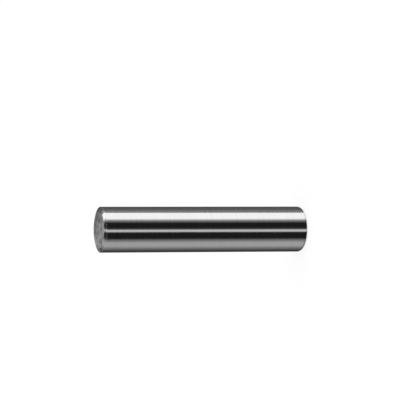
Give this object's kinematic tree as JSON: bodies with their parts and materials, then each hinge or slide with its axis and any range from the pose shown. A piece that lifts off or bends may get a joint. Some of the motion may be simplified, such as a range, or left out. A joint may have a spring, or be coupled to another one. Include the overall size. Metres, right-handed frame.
{
  "type": "dowel pin",
  "caption": "Straight round steel pin with a ground barrel, a flat upper end with a lightly chamfered edge and a rounded lead end, pressed into reamed holes to locate two parts.",
  "frame": {"origin": "centre of the lead end's flat face, on the surface that the pin stands on", "axes": "+Z along the pin's axis, from the rounded lead end to the flat upper end"},
  "size_m": [0.006, 0.006, 0.028],
  "materials": {
    "ground_steel": "fine ground barrel with grinding marks round it, matte grey cut end faces"
  },
  "bodies": {
    "root": {"pin": "ground_steel"}
  },
  "joints": []
}
